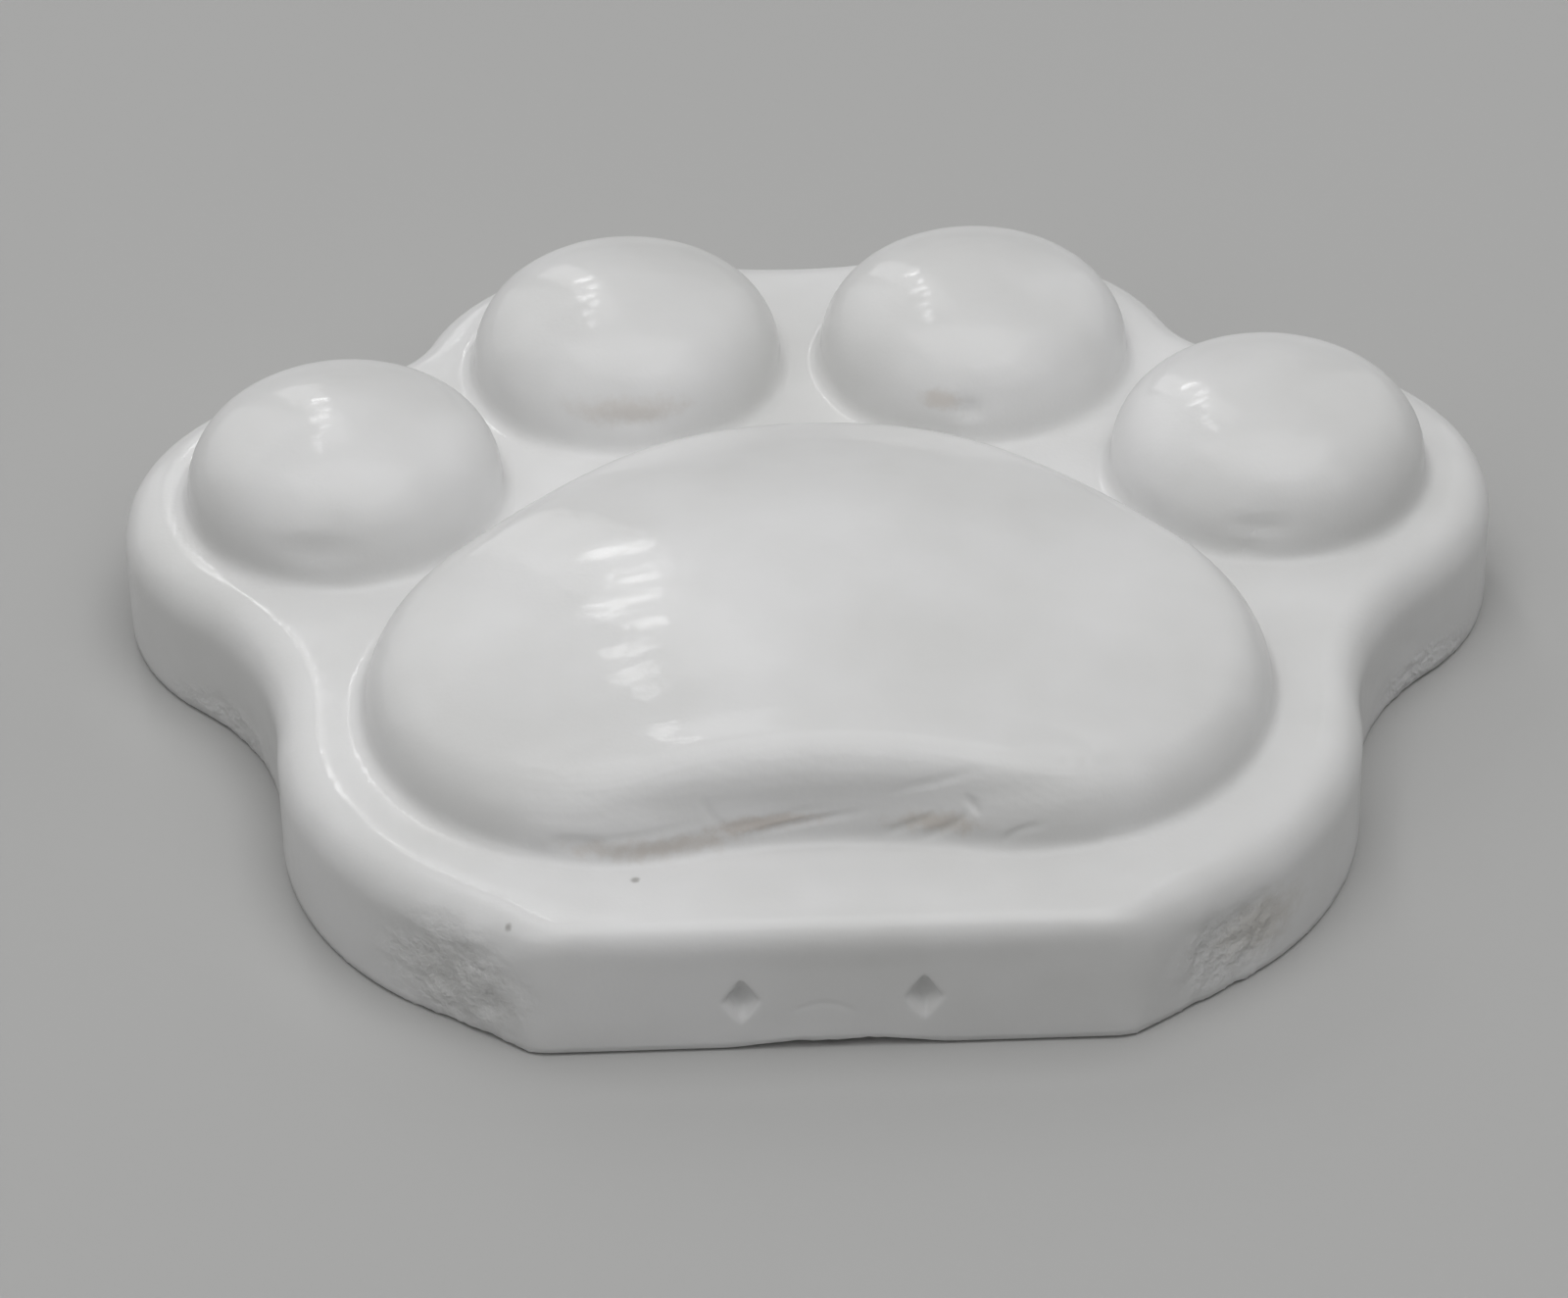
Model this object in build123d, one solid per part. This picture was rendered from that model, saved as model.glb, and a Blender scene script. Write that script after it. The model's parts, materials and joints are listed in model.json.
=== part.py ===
from build123d import *
import math
import os

# Paw-shaped silicone soap mould, standing on its pouring rim, with the soap bar that it casts still inside.
#
# The mould is a thin shell with five raised pads. The bar is poured in two stages: the four toe pads and the
# main pad first, in the deeper pockets, and the backing behind them. Millimetres, +Z up. The origin is on the
# standing plane, under the centre of the paw. -Y is the heel edge of the paw and +Y the toe edge.

# Overall size of the mould
paw_width = 80.0  # across the two outer toe lobes
paw_depth = 66.2  # from the heel edge to the back of the inner toe lobes
plate_height = 8.3  # from the rim to the flat between the pads

# Silicone shell
wall = 2.0
edge_radius = 2.5  # outside rounding between the side wall and the flat
foot_radius = 0.8  # fillet where a pad rises from the flat
release_gap = 0.3  # what the soap shrinks by on each side as it cures
least_round = 0.5  # no moulded edge is sharper than this
bar_corner = 0.3  # radius of the bar's upright corner, at each end of its heel edge
flush = 0.01  # faces this close in height are one flat

# Toe pads
toe_radius = 9.2
toe_height = 6.3  # above the flat
toe_crown = 17.0  # radius of the domed top
toe_shoulder = 4.6  # radius that turns the top into the side
toe_border = 3.9  # flat left around a toe pad, to the edge of its lobe
inner_toe_spacing = 20.8  # centre to centre
toe_stagger = 12.3  # how far the outer toes sit behind the inner ones, towards the heel

# Main pad
main_pad_width = 50.6
main_pad_depth = 37.6
main_pad_height = 7.2  # above the flat
main_lobe_radius = 14.3  # the two rounded ends
main_arch_radius = 18.8  # the arch under the toes
main_dip = 1.3  # hollow in the middle of the heel side
main_crown_across = 85.0  # radius of the domed top, side to side
main_crown_along = 50.0  # the same, heel to toe
main_crown_bulk = 40.0  # half the height of the ellipsoid that the dome is the cap of
main_crown_shift = 2.0  # from the middle of the pad to its highest point, towards the heel
main_shoulder = 3.9  # radius that turns the top into the side
heel_border = 6.1  # flat between the main pad and the heel edge

# Outline of the plate
body_width = 60.6  # across the paw below the outer toes
body_side_radius = 19.0
body_side_setback = 19.7  # from the heel edge to the centre of the side rounding
heel_flat = 30.6  # straight part of the heel edge
neck_radius = 15.0  # hollow below an outer toe lobe
notch_radius = 6.0  # hollow between an outer and an inner toe lobe
back_hollow_radius = 26.0  # hollow between the two inner toe lobes

# Diamond dimples in the heel wall
dimple_spacing = 9.8
dimple_width = 2.1
dimple_length = 3.3
dimple_depth = 0.6
dimple_height = 3.4  # centre above the rim
dimple_slope = 45.0  # of the dimple's sides, degrees from straight in

# Places that follow from the sizes
heel_y = -paw_depth / 2
inner_toe = (inner_toe_spacing / 2, paw_depth / 2 - toe_border - toe_radius)
outer_toe = (paw_width / 2 - toe_border - toe_radius, inner_toe[1] - toe_stagger)
main_front_y = heel_y + heel_border
main_lobe = (main_pad_width / 2 - main_lobe_radius, main_front_y + main_lobe_radius)
main_arch = (0.0, main_front_y + main_pad_depth - main_arch_radius)
main_crown_y = main_front_y + main_pad_depth / 2 - main_crown_shift
body_side = (body_width / 2 - body_side_radius, heel_y + body_side_setback)
bar_inset = wall + release_gap
heel_corner_radius = bar_corner + bar_inset
heel_corner = (heel_flat / 2, heel_y + heel_corner_radius)
lobe_radius = toe_radius + toe_border

# The hollow arc that touches both end lobes and stands main_dip above their lowest points
dip_reach = main_lobe_radius - main_dip
main_dip_radius = (main_lobe[0] ** 2 + dip_reach**2 - main_lobe_radius**2) / (2 * main_dip)

TOES = {
    "outer_left_toe_pour": (-outer_toe[0], outer_toe[1]),
    "inner_left_toe_pour": (-inner_toe[0], inner_toe[1]),
    "inner_right_toe_pour": inner_toe,
    "outer_right_toe_pour": outer_toe,
}


def unit(vector):
    return vector * (1 / vector.length)


def join(circle_a, circle_b, hollow):
    """Leaving point, arriving point and middle point of what joins two circles of an anticlockwise outline.

    hollow is None for a straight run, which has no middle point, or the radius of a hollow arc.
    """
    (centre_a, radius_a), (centre_b, radius_b) = circle_a, circle_b
    span = centre_b - centre_a
    along = unit(span)
    outward = Vector(along.Y, -along.X)
    if hollow is None:
        lean = (radius_a - radius_b) / span.length
        normal = along * lean + outward * math.sqrt(1 - lean**2)
        return centre_a + normal * radius_a, centre_b + normal * radius_b, None
    reach_a = radius_a + hollow
    reach_b = radius_b + hollow
    step = (span.length**2 + reach_a**2 - reach_b**2) / (2 * span.length)
    pivot = centre_a + along * step + outward * math.sqrt(reach_a**2 - step**2)
    leave = centre_a + unit(pivot - centre_a) * radius_a
    arrive = centre_b + unit(pivot - centre_b) * radius_b
    middle = pivot + unit((leave + arrive) * 0.5 - pivot) * hollow
    return leave, arrive, middle


def turn(centre, radius, start, end):
    """Anticlockwise arc of a circle between two of its points."""
    first = math.atan2(start.Y - centre.Y, start.X - centre.X)
    last = math.atan2(end.Y - centre.Y, end.X - centre.X)
    if last < first:
        last += 2 * math.pi
    half = (first + last) / 2
    middle = centre + Vector(math.cos(half), math.sin(half)) * radius
    return Edge.make_three_point_arc(start, middle, end)


def outline(circles, hollows, inset):
    """Face bounded by an anticlockwise ring of circles. hollows says what joins each circle to the next."""
    rings = [(Vector(x, y), radius - inset) for x, y, radius in circles]
    count = len(rings)
    joins = []
    for i, hollow in enumerate(hollows):
        grown = None if hollow is None else hollow + inset
        joins.append(join(rings[i], rings[(i + 1) % count], grown))
    edges = []
    for i, (centre, radius) in enumerate(rings):
        leave, arrive, middle = joins[i]
        edges.append(turn(centre, radius, joins[i - 1][1], leave))
        if middle is None:
            edges.append(Edge.make_line(leave, arrive))
        else:
            edges.append(Edge.make_three_point_arc(leave, middle, arrive))
    return Face(Wire(edges))


def plate_outline(inset):
    right = [
        (*heel_corner, heel_corner_radius),
        (*body_side, body_side_radius),
        (*outer_toe, lobe_radius),
        (*inner_toe, lobe_radius),
    ]
    left = [(-x, y, radius) for x, y, radius in reversed(right)]
    side = [None, neck_radius, notch_radius]
    return outline(right + left, side + [back_hollow_radius] + side[::-1] + [None], inset)


def main_pad_outline(inset):
    right = (*main_lobe, main_lobe_radius)
    left = (-main_lobe[0], main_lobe[1], main_lobe_radius)
    arch = (*main_arch, main_arch_radius)
    return outline([right, arch, left], [None, None, main_dip_radius], inset)


def plate(inset):
    """The paw-shaped slab under the pads, its top edge rounded."""
    slab = extrude(plate_outline(inset), plate_height - inset)
    rounding = max(edge_radius - inset, least_round)
    return fillet(slab.faces().sort_by(Axis.Z)[-1].edges(), rounding)


def toe_pad(centre, inset):
    """A domed round pad: a crown, a shoulder and a short upright side."""
    base = plate_height - inset
    top = plate_height + toe_height - inset
    radius = toe_radius - inset
    crown = toe_crown - inset
    shoulder = toe_shoulder - inset
    crown_z = top - crown
    shoulder_x = radius - shoulder
    shoulder_z = crown_z + math.sqrt((crown - shoulder) ** 2 - shoulder_x**2)
    lean = math.atan2(shoulder_x, shoulder_z - crown_z)  # where crown and shoulder meet, from straight up
    meet_x, meet_z = crown * math.sin(lean), crown_z + crown * math.cos(lean)
    middle_x, middle_z = crown * math.sin(lean / 2), crown_z + crown * math.cos(lean / 2)
    turned = (lean + math.pi / 2) / 2
    bend_x, bend_z = shoulder_x + shoulder * math.sin(turned), shoulder_z + shoulder * math.cos(turned)
    profile = [
        Edge.make_three_point_arc((0, 0, top), (middle_x, 0, middle_z), (meet_x, 0, meet_z)),
        Edge.make_three_point_arc((meet_x, 0, meet_z), (bend_x, 0, bend_z), (radius, 0, shoulder_z)),
        Edge.make_line((radius, 0, shoulder_z), (radius, 0, base)),
        Edge.make_line((radius, 0, base), (0, 0, base)),
        Edge.make_line((0, 0, base), (0, 0, top)),
    ]
    return Pos(*centre, 0) * revolve(Face(Wire(profile)), Axis.Z)


def main_pad(inset):
    """The big pad: upright sides, a gently crowned top and a broad shoulder between them."""
    base = plate_height - inset
    block = Pos(0, 0, base) * extrude(main_pad_outline(inset), main_pad_height)
    half_sizes = (
        math.sqrt(main_crown_across * main_crown_bulk) - inset,
        math.sqrt(main_crown_along * main_crown_bulk) - inset,
        main_crown_bulk - inset,
    )
    crown_z = plate_height + main_pad_height - main_crown_bulk
    crowned = block & Pos(0, main_crown_y, crown_z) * scale(Sphere(1), by=half_sizes)
    return fillet(crowned.faces().sort_by(Axis.Z)[-1].edges(), main_shoulder - inset)


def paw(inset):
    """The whole paw as one body, its pads rising from the plate with a small fillet at the foot."""
    body = plate(inset) + main_pad(inset)
    for centre in TOES.values():
        body += toe_pad(centre, inset)
    level = plate_height - inset
    flats = body.faces().filter_by(Plane.XY).filter_by_position(Axis.Z, level - flush, level + flush)
    feet = [edge for face in flats for wire in face.inner_wires() for edge in wire.edges()]
    return fillet(feet, foot_radius)


def dimples():
    """Two diamond-shaped hollows, side by side in the heel wall."""
    half_width, half_length = dimple_width / 2, dimple_length / 2
    corners = [(half_width, 0), (0, half_length), (-half_width, 0), (0, -half_length)]
    cutters = []
    for x in (-dimple_spacing / 2, dimple_spacing / 2):
        wall_plane = Plane(origin=(x, heel_y, dimple_height), x_dir=(-1, 0, 0), z_dir=(0, 1, 0))
        diamond = wall_plane * make_face(Polyline(*corners, close=True))
        cutters.append(extrude(diamond, dimple_depth, taper=dimple_slope))
    return cutters


def mould_shell():
    shell = paw(0) - paw(wall)
    for cutter in dimples():
        shell -= cutter
    return shell


nodes = {
    "mould_shell": mould_shell(),
    "bar_backing": plate(bar_inset),
    "main_pad_pour": main_pad(bar_inset),
}
for name, centre in TOES.items():
    nodes[name] = toe_pad(centre, bar_inset)

os.makedirs("parts", exist_ok=True)
for name, shape in nodes.items():
    shape.label = name
    export_step(shape, f"parts/{name}.step")
    print(name, round(shape.volume), "mm3, valid", shape.is_valid)
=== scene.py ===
import bpy
import json
import math
from mathutils import Matrix, Vector


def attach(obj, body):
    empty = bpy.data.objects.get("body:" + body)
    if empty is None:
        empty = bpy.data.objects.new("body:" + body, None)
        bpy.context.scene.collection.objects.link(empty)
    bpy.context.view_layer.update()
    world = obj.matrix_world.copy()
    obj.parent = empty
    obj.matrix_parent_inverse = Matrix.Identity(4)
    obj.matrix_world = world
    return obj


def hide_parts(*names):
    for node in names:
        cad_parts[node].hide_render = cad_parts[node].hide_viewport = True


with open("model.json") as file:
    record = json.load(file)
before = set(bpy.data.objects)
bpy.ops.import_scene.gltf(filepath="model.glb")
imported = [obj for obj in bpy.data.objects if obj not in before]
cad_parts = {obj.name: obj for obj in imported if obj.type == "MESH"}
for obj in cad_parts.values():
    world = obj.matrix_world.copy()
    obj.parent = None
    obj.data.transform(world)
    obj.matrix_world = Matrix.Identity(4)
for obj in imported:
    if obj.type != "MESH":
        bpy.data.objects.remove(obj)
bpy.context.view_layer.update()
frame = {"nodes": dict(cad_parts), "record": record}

# White silicone soap mould shaped like a paw, open side down over the two-colour soap bar it casts.
# Metres, +Z up. -Y is the heel edge of the paw and +Y the toe edge. Dictionaries give sizes in millimetres.

mm = 0.001


# sRGB hex to the linear colour that a socket takes
def linear(hexCode):
    channels = [int(hexCode[i:i + 2], 16) / 255 for i in (0, 2, 4)]
    return (*[c / 12.92 if c <= 0.04045 else ((c + 0.055) / 1.055) ** 2.4 for c in channels], 1.0)


def activate(piece):
    bpy.ops.object.select_all(action="DESELECT")
    piece.select_set(True)
    bpy.context.view_layer.objects.active = piece


def applyModifier(piece, kind, **settings):
    activate(piece)
    modifier = piece.modifiers.new(kind.lower(), kind)
    for name, value in settings.items():
        setattr(modifier, name, value)
    bpy.ops.object.modifier_apply(modifier=modifier.name)


# 0 below low, 1 above high and smooth between
def smoothStep(low, high, value):
    t = min(max((value - low) / (high - low), 0.0), 1.0)
    return t * t * (3 - 2 * t)


# A node with its settings, by property, socket name or socket number, and its links
def addNode(tree, kind, settings, links):
    node = tree.nodes.new("ShaderNode" + kind)
    for name, value in settings.items():
        if isinstance(name, int) or name in node.inputs:
            node.inputs[name].default_value = value
        else:
            setattr(node, name, value)
    for name, output in links.items():
        tree.links.new(output, node.inputs[name])
    return node


# The settings of a node that turns one span of values into another
def spans(source, result=(0.0, 1.0)):
    return {"From Min": source[0], "From Max": source[1], "To Min": result[0], "To Max": result[1]}


# A new material, its empty node tree, and the place on the piece that its patterns read
def newMaterial(name):
    material = bpy.data.materials.new(name)
    material.use_nodes = True
    tree = material.node_tree
    tree.nodes.clear()
    return material, tree, addNode(tree, "TexCoord", {}, {}).outputs["Object"]


meshLook = {
    "joinWithin": 0.002,                    # corners closer than this are one
    "softening": 0.5, "softenPasses": 3,    # what takes the steps out of a fresh skin
    "leastWeight": 0.01,                    # weights below this are left out of a group
}


# A fresh object with a CAD node's shape, its loose triangles joined up
def copyNode(nodeName, pieceName):
    piece = bpy.data.objects.new(pieceName, frame["nodes"][nodeName].data.copy())
    piece.data.name = pieceName
    bpy.context.scene.collection.objects.link(piece)
    activate(piece)
    bpy.ops.object.mode_set(mode="EDIT")
    bpy.ops.mesh.select_all(action="SELECT")
    bpy.ops.mesh.remove_doubles(threshold=meshLook["joinWithin"] * mm)
    bpy.ops.object.mode_set(mode="OBJECT")
    return piece


# An even skin of small faces, finer in the zones, snapped back onto the exact surface, ready for sculpting
def remesh(piece, voxel, zones=(), cuts=0):
    activate(piece)
    bpy.ops.object.duplicate()
    exact = bpy.context.view_layer.objects.active
    applyModifier(piece, "REMESH", mode="VOXEL", voxel_size=voxel * mm, use_smooth_shade=True)
    applyModifier(piece, "SMOOTH", factor=meshLook["softening"], iterations=meshLook["softenPasses"])
    for low, high in zones:
        activate(piece)
        bpy.ops.object.mode_set(mode="EDIT")
        bpy.ops.mesh.select_mode(type="FACE")
        bpy.ops.mesh.select_all(action="DESELECT")
        bpy.ops.object.mode_set(mode="OBJECT")
        for face in piece.data.polygons:
            face.select = all(low[i] < face.center[i] / mm < high[i] for i in range(3))
        bpy.ops.object.mode_set(mode="EDIT")
        bpy.ops.mesh.subdivide(number_cuts=cuts)
        bpy.ops.object.mode_set(mode="OBJECT")
    applyModifier(piece, "SHRINKWRAP", target=exact, wrap_method="NEAREST_SURFACEPOINT")
    bpy.data.objects.remove(exact)


# A vertex group from a function of place, in millimetres, and normal, kept to the vertices in only
def markGroup(piece, name, weightAt, only=None):
    group = piece.vertex_groups.new(name=name)
    for vertex in piece.data.vertices:
        if only is not None and vertex.index not in only:
            continue
        weight = weightAt(vertex.co / mm, vertex.normal)
        if weight > meshLook["leastWeight"]:
            group.add([vertex.index], weight, "REPLACE")


# Weight 1 in the core of an ellipsoid, a share of its radii, and 0 outside it
def ball(centre, radii, core):
    def weightAt(place, normal):
        reach = math.sqrt(sum(((place[i] - centre[i]) / radii[i]) ** 2 for i in range(3)))
        return 1 - smoothStep(core, 1.0, reach)
    return weightAt


# The strongest of several weights, each as a share of the deepest
def strongest(parts):
    most = max(depth for weightAt, depth in parts)
    return lambda place, normal: max(weightAt(place, normal) * depth / most for weightAt, depth in parts)


# Pushes a group in, evenly or by a noise whose lumps have the size of lump. A negative depth pushes it out
def push(piece, group, depth, lump=None, octaves=2, middle=0.5, direction="NORMAL"):
    if lump is None:
        if direction == "Y":
            depth = -depth
        applyModifier(piece, "DISPLACE", strength=-depth * mm, mid_level=0.0, vertex_group=group,
                      direction=direction)
        return
    texture = bpy.data.textures.new(group, "CLOUDS")
    texture.noise_scale = 1.0
    texture.noise_depth = octaves
    stretch = bpy.data.objects.new(group, None)
    stretch.scale = Vector(lump) * mm
    bpy.context.scene.collection.objects.link(stretch)
    bpy.context.view_layer.update()
    applyModifier(piece, "DISPLACE", texture=texture, texture_coords="OBJECT",
                  texture_coords_object=stretch, strength=-depth * mm, mid_level=middle,
                  vertex_group=group, direction=direction)
    bpy.data.objects.remove(stretch)


siliconeLook = {
    "white": "E9E9E9",
    "cloud": "DFDFDE", "cloudSize": 14.0, "cloudSpan": (0.35, 0.65),
    "roughness": (0.42, 0.54), "roughnessSize": 5.0, "roughnessSpan": (0.3, 0.7),
    "refraction": 1.41,
    "glow": 0.2, "glowReach": 1.2, "glowColour": (1.0, 0.99, 0.98),    # light that sinks in
    "gloss": 0.45, "glossRoughness": 0.1,   # the thin shiny skin that cured against the master
    "flowSize": 1.7, "flowDepth": 0.04, "flowStrength": 0.6,    # slow waves that break up its reflections
    "toothSize": 0.22, "toothDepth": 0.012, "toothStrength": 0.5,
    "edgeSize": 0.8, "edgeSpan": (0.2, 0.8), "edgeShift": 0.45,    # raggedness of the stains' edges
    "stainSpan": (0.2, 1.35),
    "stains": [                             # centre, radii, colour, strength
        ((-10.3, 11.4, 11.0), (3.4, 2.0, 0.8), "BFAF9E", 0.26),
        ((8.1, 11.6, 11.0), (1.3, 1.5, 0.6), "B5A390", 0.3),
        ((-9.0, -26.6, 9.1), (5.0, 1.6, 0.6), "BAA996", 0.34),
        ((-3.2, -26.0, 9.7), (3.2, 1.6, 0.5), "B7A593", 0.42),
        ((5.8, -26.2, 9.7), (2.6, 1.8, 0.7), "B9AA98", 0.4),
        ((-20.5, -30.3, 3.0), (4.0, 3.6, 3.0), "ABAAA2", 0.2),
        ((23.5, -28.0, 3.4), (3.0, 3.6, 2.0), "B5AB9A", 0.3),
        ((-10.4, -28.5, 8.3), (0.26, 0.26, 0.5), "85817C", 0.6),
        ((-17.2, -31.3, 7.8), (0.2, 0.2, 0.5), "85817C", 0.6),
    ],
    "torn": [                               # where the skin is grainy: centre, radii
        ((-20.5, -30.0, 3.4), (7.0, 5.5, 4.6)),
        ((22.0, -29.3, 3.2), (6.0, 4.5, 3.6)),
        ((-34.0, -4.0, 0.5), (8.0, 6.0, 2.6)),
        ((35.0, -2.0, 0.5), (7.0, 6.0, 2.6)),
    ],
    "tornSpan": (0.35, 1.0), "tornSize": 1.1, "tornDepth": 0.55, "tornGloss": 0.1,
}


# Distance from the middle of an ellipsoid, as a share of its radii
def ellipsoidReach(tree, place, centre, radii):
    scaled = addNode(tree, "Mapping", {"vector_type": "TEXTURE", "Location": Vector(centre) * mm,
                                       "Scale": Vector(radii) * mm}, {"Vector": place})
    return addNode(tree, "VectorMath", {"operation": "LENGTH"}, {0: scaled.outputs[0]}).outputs[1]


# Silicone rubber poured over a polished master: a satin white body that light sinks into a little, under a
# thin shiny skin, with pale tan dirt where pads meet the flat and a dull grain where the skin was torn
def siliconeRubber():
    look = siliconeLook
    material, tree, place = newMaterial("whiteSiliconeRubber")

    cloudy = addNode(tree, "TexNoise", {"Scale": 1 / (look["cloudSize"] * mm), "Detail": 3.0},
                     {"Vector": place})
    cloudMask = addNode(tree, "MapRange", spans(look["cloudSpan"]), {"Value": cloudy.outputs[0]})
    colours = {"data_type": "RGBA", 6: linear(look["white"]), 7: linear(look["cloud"])}
    colour = addNode(tree, "Mix", colours, {0: cloudMask.outputs[0]}).outputs[2]

    edges = addNode(tree, "TexNoise", {"Scale": 1 / (look["edgeSize"] * mm), "Detail": 4.0, "Roughness": 0.6},
                    {"Vector": place})
    ragged = addNode(tree, "MapRange", spans(look["edgeSpan"], (-look["edgeShift"], look["edgeShift"])),
                     {"Value": edges.outputs[0]})
    for centre, radii, tint, strength in look["stains"]:
        reach = ellipsoidReach(tree, place, centre, radii)
        rough = addNode(tree, "Math", {"operation": "ADD"}, {0: reach, 1: ragged.outputs[0]})
        fade = {"interpolation_type": "SMOOTHSTEP", **spans(look["stainSpan"], (strength, 0.0))}
        mask = addNode(tree, "MapRange", fade, {"Value": rough.outputs[0]})
        colour = addNode(tree, "Mix", {"data_type": "RGBA", 7: linear(tint)},
                         {0: mask.outputs[0], 6: colour}).outputs[2]

    patches = addNode(tree, "TexNoise", {"Scale": 1 / (look["roughnessSize"] * mm), "Detail": 3.0},
                      {"Vector": place})
    roughness = addNode(tree, "MapRange", spans(look["roughnessSpan"], look["roughness"]),
                        {"Value": patches.outputs[0]})

    flow = addNode(tree, "TexNoise", {"Scale": 1 / (look["flowSize"] * mm), "Detail": 2.0}, {"Vector": place})
    flowing = addNode(tree, "Bump", {"Distance": look["flowDepth"] * mm, "Strength": look["flowStrength"]},
                      {"Height": flow.outputs[0]})
    grain = addNode(tree, "TexNoise", {"Scale": 1 / (look["tornSize"] * mm), "Detail": 3.0, "Roughness": 0.55},
                    {"Vector": place})
    tornMask = None
    for centre, radii in look["torn"]:
        reach = ellipsoidReach(tree, place, centre, radii)
        fade = {"interpolation_type": "SMOOTHSTEP", **spans(look["tornSpan"], (1.0, 0.0))}
        mask = addNode(tree, "MapRange", fade, {"Value": reach}).outputs[0]
        if tornMask is not None:
            mask = addNode(tree, "Math", {"operation": "MAXIMUM"}, {0: tornMask, 1: mask}).outputs[0]
        tornMask = mask
    torn = addNode(tree, "Bump", {"Distance": look["tornDepth"] * mm},
                   {"Strength": tornMask, "Height": grain.outputs[0], "Normal": flowing.outputs[0]})
    tooth = addNode(tree, "TexNoise", {"Scale": 1 / (look["toothSize"] * mm), "Detail": 2.0},
                    {"Vector": place})
    toothed = addNode(tree, "Bump", {"Distance": look["toothDepth"] * mm, "Strength": look["toothStrength"]},
                      {"Height": tooth.outputs[0], "Normal": torn.outputs[0]})
    gloss = addNode(tree, "MapRange", spans((0.0, 1.0), (look["gloss"], look["tornGloss"])),
                    {"Value": tornMask})
    shader = addNode(tree, "BsdfPrincipled", {
        "IOR": look["refraction"], "Coat IOR": look["refraction"], "Coat Roughness": look["glossRoughness"],
        "Subsurface Weight": look["glow"], "Subsurface Radius": look["glowColour"],
        "Subsurface Scale": look["glowReach"] * mm,
    }, {"Base Color": colour, "Roughness": roughness.outputs[0], "Normal": toothed.outputs[0],
        "Coat Weight": gloss.outputs[0], "Coat Normal": torn.outputs[0]})
    addNode(tree, "OutputMaterial", {}, {"Surface": shader.outputs[0]})
    return material


soapLook = {
    "backing": {"name": "creamSoap", "pale": "F0E6CF", "deep": "E4D5B2"},
    "pads": {"name": "roseSoap", "pale": "E7B7AE", "deep": "D99A93"},
    "refraction": 1.46,
    "glow": 0.35, "glowReach": 2.0, "glowColour": (1.0, 0.7, 0.5),    # light that sinks in
    "swirlSize": 9.0, "swirlSpan": (0.35, 0.65), "swirlTwist": 1.4,
    "bloom": "F6F0E6", "bloomSize": 1.6, "bloomSpan": (0.55, 0.8), "bloomMost": 0.35,
    "roughness": (0.34, 0.52), "roughnessSpan": (0.3, 0.7),
    "waveSize": 3.2, "waveDepth": 0.08, "waveStrength": 0.6,
    "poreSize": 1.7, "poreSpan": (0.05, 0.16), "poreDepth": 0.1, "poreStrength": 0.7,
}


# Melt-and-pour soap: waxy and slightly clouded, with swirls from stirring, pin bubbles and a dull bloom
def castSoap(colours):
    look = soapLook
    material, tree, place = newMaterial(colours["name"])
    swirl = addNode(tree, "TexNoise", {"Scale": 1 / (look["swirlSize"] * mm), "Detail": 3.0,
                                       "Distortion": look["swirlTwist"]}, {"Vector": place})
    swirlMask = addNode(tree, "MapRange", spans(look["swirlSpan"]), {"Value": swirl.outputs[0]})
    shades = {"data_type": "RGBA", 6: linear(colours["pale"]), 7: linear(colours["deep"])}
    body = addNode(tree, "Mix", shades, {0: swirlMask.outputs[0]})
    bloom = addNode(tree, "TexNoise", {"Scale": 1 / (look["bloomSize"] * mm), "Detail": 4.0, "Roughness": 0.65},
                    {"Vector": place})
    bloomMask = addNode(tree, "MapRange", spans(look["bloomSpan"], (0.0, look["bloomMost"])),
                        {"Value": bloom.outputs[0]})
    colour = addNode(tree, "Mix", {"data_type": "RGBA", 7: linear(look["bloom"])},
                     {0: bloomMask.outputs[0], 6: body.outputs[2]})
    roughness = addNode(tree, "MapRange", spans(look["roughnessSpan"], look["roughness"]),
                        {"Value": bloom.outputs[0]})
    wave = addNode(tree, "TexNoise", {"Scale": 1 / (look["waveSize"] * mm), "Detail": 2.0}, {"Vector": place})
    wavy = addNode(tree, "Bump", {"Distance": look["waveDepth"] * mm, "Strength": look["waveStrength"]},
                   {"Height": wave.outputs[0]})
    pores = addNode(tree, "TexVoronoi", {"Scale": 1 / (look["poreSize"] * mm)}, {"Vector": place})
    pits = addNode(tree, "MapRange", spans(look["poreSpan"]), {"Value": pores.outputs["Distance"]})
    pitted = addNode(tree, "Bump", {"Distance": look["poreDepth"] * mm, "Strength": look["poreStrength"]},
                     {"Height": pits.outputs[0], "Normal": wavy.outputs[0]})
    shader = addNode(tree, "BsdfPrincipled", {
        "IOR": look["refraction"], "Subsurface Weight": look["glow"],
        "Subsurface Radius": look["glowColour"], "Subsurface Scale": look["glowReach"] * mm,
    }, {"Base Color": colour.outputs[2], "Roughness": roughness.outputs[0], "Normal": pitted.outputs[0]})
    addNode(tree, "OutputMaterial", {}, {"Surface": shader.outputs[0]})
    return material


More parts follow.
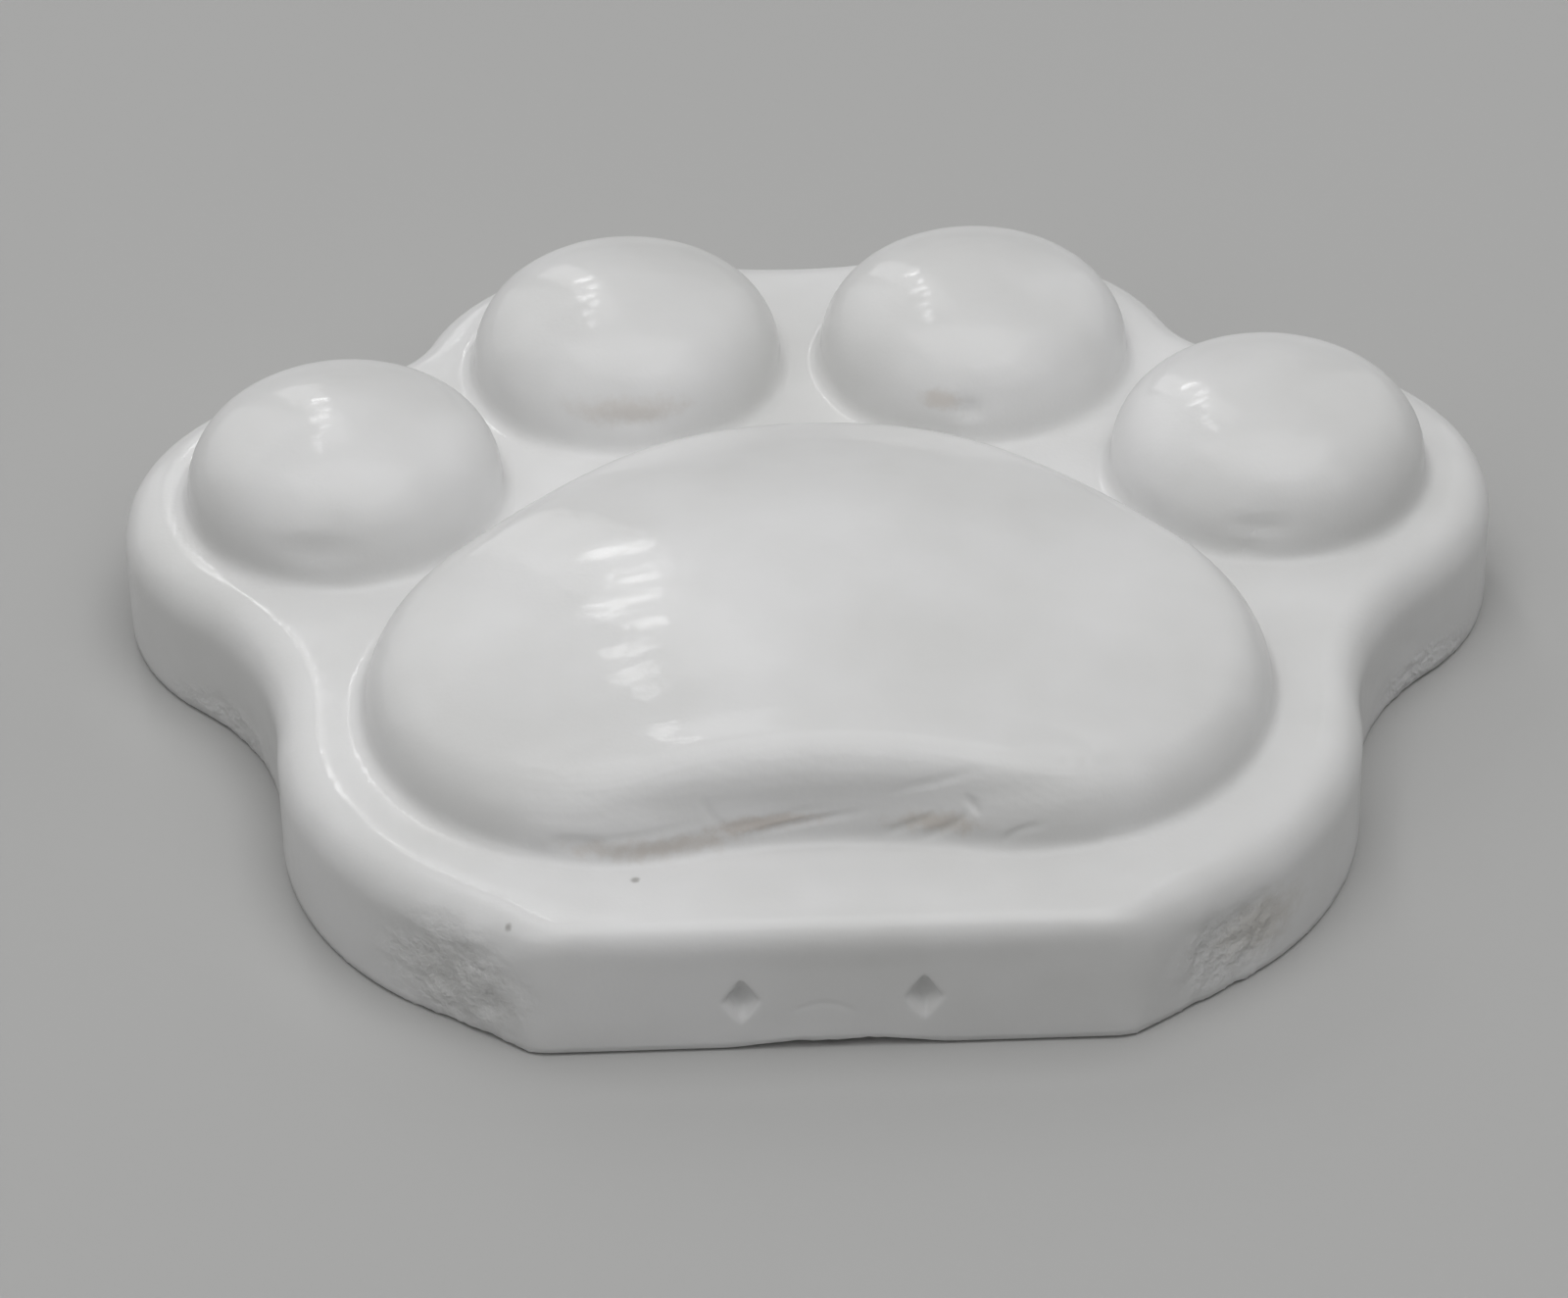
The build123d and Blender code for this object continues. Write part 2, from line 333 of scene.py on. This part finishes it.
shellLook = {
    "voxel": 0.42,
    "zones": [((-8.0, -34.0, 1.0), (8.0, -32.4, 5.5)), ((-16.0, -29.0, 8.0), (15.0, -21.0, 14.2))],
    "zoneCuts": 3,                      # each edge there is split this many times
    "smoothing": 0.5,
    "blend": {"reach": (15.0, 17.0), "y": -20.5, "z": 0.9, "passes": 5},    # eases what was cut in the zones
    "outsideGap": 1.2,                  # further than this from the bar is the mould's outside
    "waveDepth": 0.08, "waveLump": (12.0, 12.0, 12.0), "waveMiddle": 0.35,    # hand-made unevenness
    "rimFade": (0.3, 2.0),              # heights between which that unevenness comes in above the rim
    "sideFade": (39.2, 39.9),           # half widths between which it goes out at the widest points
    "torn": [                           # where the skin was cut and torn: centre, radii, depth
        ((-20.0, -30.2, 3.2), (7.0, 5.0, 5.5), 0.9),
        ((21.4, -29.5, 3.0), (6.0, 4.5, 4.5), 0.75),
        ((-33.0, -5.5, 1.0), (9.0, 5.0, 3.0), 0.25),
        ((34.0, -3.0, 1.5), (8.0, 6.0, 4.0), 0.25),
    ],
    "tornLump": (1.7, 1.7, 1.4), "tornCore": 0.2, "tornMiddle": 0.3,
    "dents": [                          # centre, radii, depth
        ((9.6, 11.0, 10.6), (1.3, 1.6, 1.0), 0.35),
        ((25.4, -1.2, 10.4), (2.6, 1.6, 0.8), 0.3),
        ((25.0, -1.3, 9.2), (1.6, 1.4, 0.6), 0.2),
        ((-28.0, -0.8, 10.6), (3.2, 2.0, 1.2), 0.25),
        ((-10.3, 11.4, 10.4), (3.0, 1.6, 0.8), 0.18),
        ((-13.4, -26.8, 9.4), (2.4, 1.2, 0.8), 0.2),
        ((0.0, -25.8, 10.9), (17.0, 3.0, 1.8), 0.22),
    ],
    "dentCore": 0.1,
    "fill": ((0.0, -24.4, 13.0), (16.0, 3.6, 3.0), 0.4),    # fuller at the top edge of the slope
    "slope": {                          # the whittled heel side of the main pad
        "along": (-20.5, -24.5), "left": (-17.0, -8.0), "right": (12.0, 17.0),
        "foot": (8.4, 9.2), "top": (11.0, 14.0), "depth": 0.16, "lump": (5.0, 3.0, 2.0), "middle": 0.3,
    },
    "strokes": [                        # knife strokes on that slope: start, bend and end in x, z, then depth
        ((-6.8, 11.8), (-6.4, 10.2), (-4.7, 9.2), 0.13),
        ((-4.7, 9.1), (-1.6, 9.4), (2.6, 10.3), 0.24),
        ((-8.6, 9.3), (-4.0, 9.7), (0.2, 10.4), 0.1),
        ((2.9, 8.9), (4.4, 9.2), (6.3, 10.6), 0.18),
        ((4.9, 8.8), (6.8, 9.2), (7.6, 10.7), 0.2),
        ((7.4, 11.3), (7.9, 10.9), (8.1, 10.4), 0.18),
        ((9.6, 8.8), (9.7, 9.8), (12.1, 9.9), 0.16),
        ((2.6, 11.1), (5.2, 12.0), (8.5, 12.6), 0.09),
        ((-15.0, 9.5), (-10.7, 9.7), (-6.5, 10.4), 0.08),
    ],
    "strokeRuns": 6, "strokeDepth": 0.24, "strokeWidth": 0.42,
    "strokeBand": ((-16.0, 14.0), (-28.5, -22.0), (8.45, 13.2)),
    "corners": {                        # softened above the rim
        "x": 15.3, "y": -32.8, "reach": (1.5, 5.0), "height": (0.6, 3.5), "passes": 60,
    },
    "heelEdge": {"halfWidth": (14.0, 18.5), "y": -29.5, "z": 5.0, "depth": 0.55},   # crisper at the heel
    "dimples": {
        "spacing": 9.8, "halfWidth": 1.0, "halfLength": 1.6, "z": 3.4, "y": -31.5, "lip": 0.25, "depth": 0.5,
    },
    "arch": {                           # a faint curved groove between the dimples
        "x": -0.5, "z": 1.0, "radius": 2.15, "halfWidth": 0.3, "from": (2.2, 3.0), "y": -32.6, "depth": 0.05,
    },
    "rim": {                            # ragged and lifted in the middle of the heel
        "x": 0.4, "y": -30.5, "halfWidth": 6.5, "across": (0.2, 1.0), "height": (0.2, 2.2), "rise": 0.75,
        "lump": (1.9, 1.9, 1.9),
    },
}


# A bent stroke as short straight runs, seen from the heel side
def strokeLine(start, bend, end):
    points = []
    for i in range(shellLook["strokeRuns"] + 1):
        t = i / shellLook["strokeRuns"]
        shares = ((1 - t) ** 2, 2 * t * (1 - t), t * t)
        points.append([sum(share * value for share, value in zip(shares, values))
                       for values in zip(start, bend, end)])
    return list(zip(points, points[1:]))


# Weight of a stroke at a place: 1 along its middle, 0 a stroke's width away and at both ends
def strokeWeight(place, line):
    most = 0.0
    for i, ((ax, az), (bx, bz)) in enumerate(line):
        runX, runZ = bx - ax, bz - az
        t = ((place.x - ax) * runX + (place.z - az) * runZ) / (runX**2 + runZ**2)
        t = min(max(t, 0.0), 1.0)
        reach = math.hypot(place.x - ax - t * runX, place.z - az - t * runZ)
        taper = math.sin(math.pi * (i + t) / len(line))
        most = max(most, taper * (1 - smoothStep(0.0, shellLook["strokeWidth"], reach)))
    return most


# The vertices that aren't close to the soap bar: the mould's outside and its rim
def outsideOf(shell):
    cores = [frame["nodes"][name] for name in frame["record"]["behaviour"]["bodies"]["soap_bar"]]
    found = set()
    for vertex in shell.data.vertices:
        gaps = [(vertex.co - core.closest_point_on_mesh(vertex.co)[1]).length for core in cores]
        if min(gaps) > shellLook["outsideGap"] * mm:
            found.add(vertex.index)
    return found


# The mould: the CAD shell with the wear and the hand-made unevenness of the real one
def makeShell():
    look = shellLook
    shell = copyNode("mould_shell", "silicone_mould")
    remesh(shell, look["voxel"], look["zones"], look["zoneCuts"])
    outside = outsideOf(shell)

    # the rim stays flat and the box sides stay the CAD's width
    def skin(place, normal):
        return smoothStep(*look["rimFade"], place.z) * (1 - smoothStep(*look["sideFade"], abs(place.x)))
    markGroup(shell, "skin", skin, outside)
    push(shell, "skin", look["waveDepth"], look["waveLump"], middle=look["waveMiddle"])

    corner = look["corners"]

    def corners(place, normal):
        reach = math.hypot(abs(place.x) - corner["x"], place.y - corner["y"])
        return (1 - smoothStep(*corner["reach"], reach)) * smoothStep(*corner["height"], place.z)
    markGroup(shell, "corners", corners, outside)
    applyModifier(shell, "SMOOTH", factor=look["smoothing"], iterations=corner["passes"],
                  vertex_group="corners")

    edge = look["heelEdge"]

    def heelEdge(place, normal):
        if place.y > edge["y"] or place.z < edge["z"] or normal.y > 0 or normal.z < 0:
            return 0.0
        return (2 * normal.z * -normal.y) ** 2 * (1 - smoothStep(*edge["halfWidth"], abs(place.x)))
    markGroup(shell, "heelEdge", heelEdge, outside)
    push(shell, "heelEdge", -edge["depth"])

    tornPlaces = [(ball(centre, radii, look["tornCore"]), depth) for centre, radii, depth in look["torn"]]
    markGroup(shell, "torn", strongest(tornPlaces), outside)
    push(shell, "torn", max(depth for weightAt, depth in tornPlaces), look["tornLump"], octaves=3,
         middle=look["tornMiddle"])
    dentPlaces = [(ball(centre, radii, look["dentCore"]), depth) for centre, radii, depth in look["dents"]]
    markGroup(shell, "dents", strongest(dentPlaces), outside)
    push(shell, "dents", max(depth for weightAt, depth in dentPlaces))
    centre, radii, depth = look["fill"]
    markGroup(shell, "fill", ball(centre, radii, look["dentCore"]), outside)
    push(shell, "fill", -depth)

    slope = look["slope"]

    def whittled(place, normal):
        across = smoothStep(*slope["left"], place.x) * (1 - smoothStep(*slope["right"], place.x))
        upward = smoothStep(*slope["foot"], place.z) * (1 - smoothStep(*slope["top"], place.z))
        return (1 - smoothStep(*reversed(slope["along"]), place.y)) * across * upward
    markGroup(shell, "slope", whittled, outside)
    push(shell, "slope", slope["depth"], slope["lump"], octaves=1, middle=slope["middle"])

    lines = [(strokeLine(*bent), depth / look["strokeDepth"]) for *bent, depth in look["strokes"]]

    def cuts(place, normal):
        if not all(low < value < high for value, (low, high) in zip(place, look["strokeBand"])):
            return 0.0
        return max(share * strokeWeight(place, line) for line, share in lines)
    markGroup(shell, "strokes", cuts, outside)
    push(shell, "strokes", look["strokeDepth"])

    dimple = look["dimples"]

    def pits(place, normal):
        if place.y > dimple["y"]:
            return 0.0
        sideways = abs(abs(place.x) - dimple["spacing"] / 2) / dimple["halfWidth"]
        upward = (place.z - dimple["z"]) / dimple["halfLength"]
        return smoothStep(0.0, dimple["lip"], 1 - sideways - abs(upward)) * (1 + upward) / 2
    markGroup(shell, "pits", pits, outside)
    push(shell, "pits", dimple["depth"], direction="Y")

    arch = look["arch"]

    def ridge(place, normal):
        if place.y > arch["y"]:
            return 0.0
        reach = math.hypot(place.x - arch["x"], place.z - arch["z"])
        across = 1 - smoothStep(0.0, arch["halfWidth"], abs(reach - arch["radius"]))
        return across * smoothStep(*arch["from"], place.z)
    markGroup(shell, "arch", ridge, outside)
    push(shell, "arch", arch["depth"])

    rim = look["rim"]

    def lifted(place, normal):
        if place.y > rim["y"]:
            return 0.0
        across = 1 - smoothStep(*rim["across"], abs(place.x - rim["x"]) / rim["halfWidth"])
        return across * (1 - smoothStep(*rim["height"], place.z))
    markGroup(shell, "rim", lifted)
    push(shell, "rim", -rim["rise"], rim["lump"], octaves=3, middle=0.0, direction="Z")

    blend = look["blend"]

    def eased(place, normal):
        if place.y > blend["y"] or place.z < blend["z"]:
            return 0.0
        return 1 - smoothStep(*blend["reach"], abs(place.x))
    markGroup(shell, "blend", eased, outside)
    applyModifier(shell, "SMOOTH", factor=look["smoothing"], iterations=blend["passes"],
                  vertex_group="blend")
    return shell


pourLook = {
    "voxel": 0.45, "depth": 0.12, "lump": (7.0, 7.0, 5.0),
    "plateTop": 6.4, "flatNormal": 0.98,    # below that top, faces this close to level stay where they are
}


# A pour of soap: the CAD solid, its visible faces a little shrunken and uneven
def makePour(nodeName):
    pour = copyNode(nodeName, nodeName.replace("_pour", "") + "_soap")
    remesh(pour, pourLook["voxel"])

    def face(place, normal):
        return float(abs(normal.z) < pourLook["flatNormal"] or place.z > pourLook["plateTop"])
    markGroup(pour, "face", face)
    push(pour, "face", pourLook["depth"], pourLook["lump"], octaves=3, middle=0.0)
    return pour


def finishPiece(piece, material, body, node):
    piece.data.materials.clear()
    piece.data.materials.append(material)
    piece.vertex_groups.clear()
    activate(piece)
    bpy.ops.object.shade_smooth()
    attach(piece, body)
    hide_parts(node)


shell = makeShell()
finishPiece(shell, siliconeRubber(), "mould", "mould_shell")
print("stage: mould made,", len(shell.data.polygons), "faces")

creamSoap = castSoap(soapLook["backing"])
roseSoap = castSoap(soapLook["pads"])
for name in frame["record"]["behaviour"]["bodies"]["soap_bar"]:
    isBacking = name == "bar_backing"
    pour = makePour(name)
    finishPiece(pour, creamSoap if isBacking else roseSoap, "soap_bar", name)
print("stage: soap bar made")


stageLook = {
    "floorSize": 4000.0, "floor": "B8B8B7", "roughness": 0.9, "shine": 0.2,
    "fibreSize": 0.6, "fibreDepth": 0.02, "fibreStrength": 0.4,
}


# Seamless matt paper
def makeStage():
    bpy.ops.mesh.primitive_plane_add(size=stageLook["floorSize"] * mm, location=(0, 0, 0))
    floor = bpy.context.view_layer.objects.active
    floor.name = "floor"
    material, tree, place = newMaterial("mattPaper")
    fibre = addNode(tree, "TexNoise", {"Scale": 1 / (stageLook["fibreSize"] * mm), "Detail": 3.0},
                    {"Vector": place})
    fibrous = addNode(tree, "Bump", {"Distance": stageLook["fibreDepth"] * mm,
                                     "Strength": stageLook["fibreStrength"]}, {"Height": fibre.outputs[0]})
    shader = addNode(tree, "BsdfPrincipled", {
        "Base Color": linear(stageLook["floor"]), "Roughness": stageLook["roughness"],
        "Specular IOR Level": stageLook["shine"],
    }, {"Normal": fibrous.outputs[0]})
    addNode(tree, "OutputMaterial", {}, {"Surface": shader.outputs[0]})
    floor.data.materials.append(material)


# The lights' distances and sizes are in metres
lightLook = {
    # azimuth, from straight behind round to the right, elevation, distance, width, height, watts
    "top": (0.0, 90.0, 0.8, 0.7, 0.7, 2.9),
    "leftFront": (-135.0, 40.0, 0.9, 0.7, 0.7, 1.55),
    "rightFront": (135.0, 55.0, 0.9, 0.7, 0.7, 1.85),
    "leftBack": (-45.0, 25.0, 0.9, 0.7, 0.7, 1.3),
    "rightBack": (45.0, 25.0, 0.9, 0.7, 0.7, 0.95),
}

windowLook = {
    "distance": 0.62,
    # elevation, sideways share of the distance, width, height, watts
    "panel": (36.0, -0.18, 0.075, 0.52, 0.22),
    "panelRoll": 5.0,
    "paneHeight": 0.015, "paneLight": 50.0,      # watts for each square metre
    "paneShare": 0.99,                           # the panes stand this share of the way to the panel
    "panes": [                                   # elevation, sideways share of the distance, width
        (30.0, -0.178, 0.036), (36.8, -0.163, 0.028), (41.6, -0.188, 0.05), (46.4, -0.165, 0.024),
        (51.0, -0.2, 0.034), (55.4, -0.197, 0.036), (58.8, -0.19, 0.02),
    ],
}


# An area light that faces the middle of the floor, turned by roll about its own axis
def addLight(name, place, width, height, power, roll=0.0):
    data = bpy.data.lights.new(name, "AREA")
    data.shape = "RECTANGLE"
    data.size = width
    data.size_y = height
    data.energy = power
    lamp = bpy.data.objects.new(name, data)
    lamp.location = place
    lamp.rotation_euler = (-place).to_track_quat("-Z", "Y").to_euler()
    lamp.rotation_euler.rotate_axis("Z", math.radians(roll))
    bpy.context.scene.collection.objects.link(lamp)


# Five soft lights, and a slatted window behind and to the left that the shiny skin mirrors
def makeLights():
    for name, (azimuth, elevation, distance, width, height, power) in lightLook.items():
        turn, lift = math.radians(azimuth), math.radians(elevation)
        place = Vector((math.sin(turn) * math.cos(lift), math.cos(turn) * math.cos(lift), math.sin(lift)))
        addLight(name, place * distance, width, height, power)

    def windowPlace(elevation, sideways):
        lift = math.radians(elevation)
        away = math.sqrt(math.cos(lift) ** 2 - sideways**2)
        return Vector((sideways, away, math.sin(lift))) * windowLook["distance"]
    elevation, sideways, width, height, power = windowLook["panel"]
    addLight("windowPanel", windowPlace(elevation, sideways), width, height, power,
             windowLook["panelRoll"])
    for i, (elevation, sideways, width) in enumerate(windowLook["panes"]):
        height = windowLook["paneHeight"]
        place = windowPlace(elevation, sideways) * windowLook["paneShare"]
        addLight(f"windowPane{i}", place, width, height, width * height * windowLook["paneLight"])


# Long lens from above the heel edge, rolled a little, with the paw just right of the middle
cameraLook = {
    "azimuth": -0.985, "elevation": 37.3, "roll": -1.13, "distance": 342.3,
    "lens": 135.0, "sensor": 36.0, "nearest": 10.0,
    "aim": (-1.714, -0.3, 1.578),   # sideways, along Y, and up the picture
}


def makeCamera():
    turn, lift, roll = (math.radians(cameraLook[key]) for key in ("azimuth", "elevation", "roll"))
    back = Vector((math.sin(turn) * math.cos(lift), -math.cos(turn) * math.cos(lift), math.sin(lift)))
    right = Vector((math.cos(turn), math.sin(turn), 0))
    up = back.cross(right)
    rolledRight = right * math.cos(roll) + up * math.sin(roll)
    rolledUp = up * math.cos(roll) - right * math.sin(roll)
    sideways, along, upward = cameraLook["aim"]
    target = (rolledRight * sideways + rolledUp * upward + Vector((0, along, 0))) * mm
    data = bpy.data.cameras.new("camera")
    data.lens = cameraLook["lens"]
    data.sensor_width = cameraLook["sensor"]
    data.clip_start = cameraLook["nearest"] * mm
    camera = bpy.data.objects.new("camera", data)
    turned = Matrix((rolledRight, rolledUp, back)).transposed().to_4x4()
    camera.matrix_world = Matrix.Translation(target + back * cameraLook["distance"] * mm) @ turned
    bpy.context.scene.collection.objects.link(camera)
    bpy.context.scene.camera = camera


makeStage()
makeLights()
makeCamera()
bpy.context.scene.view_settings.view_transform = "Standard"
print("stage: studio ready")
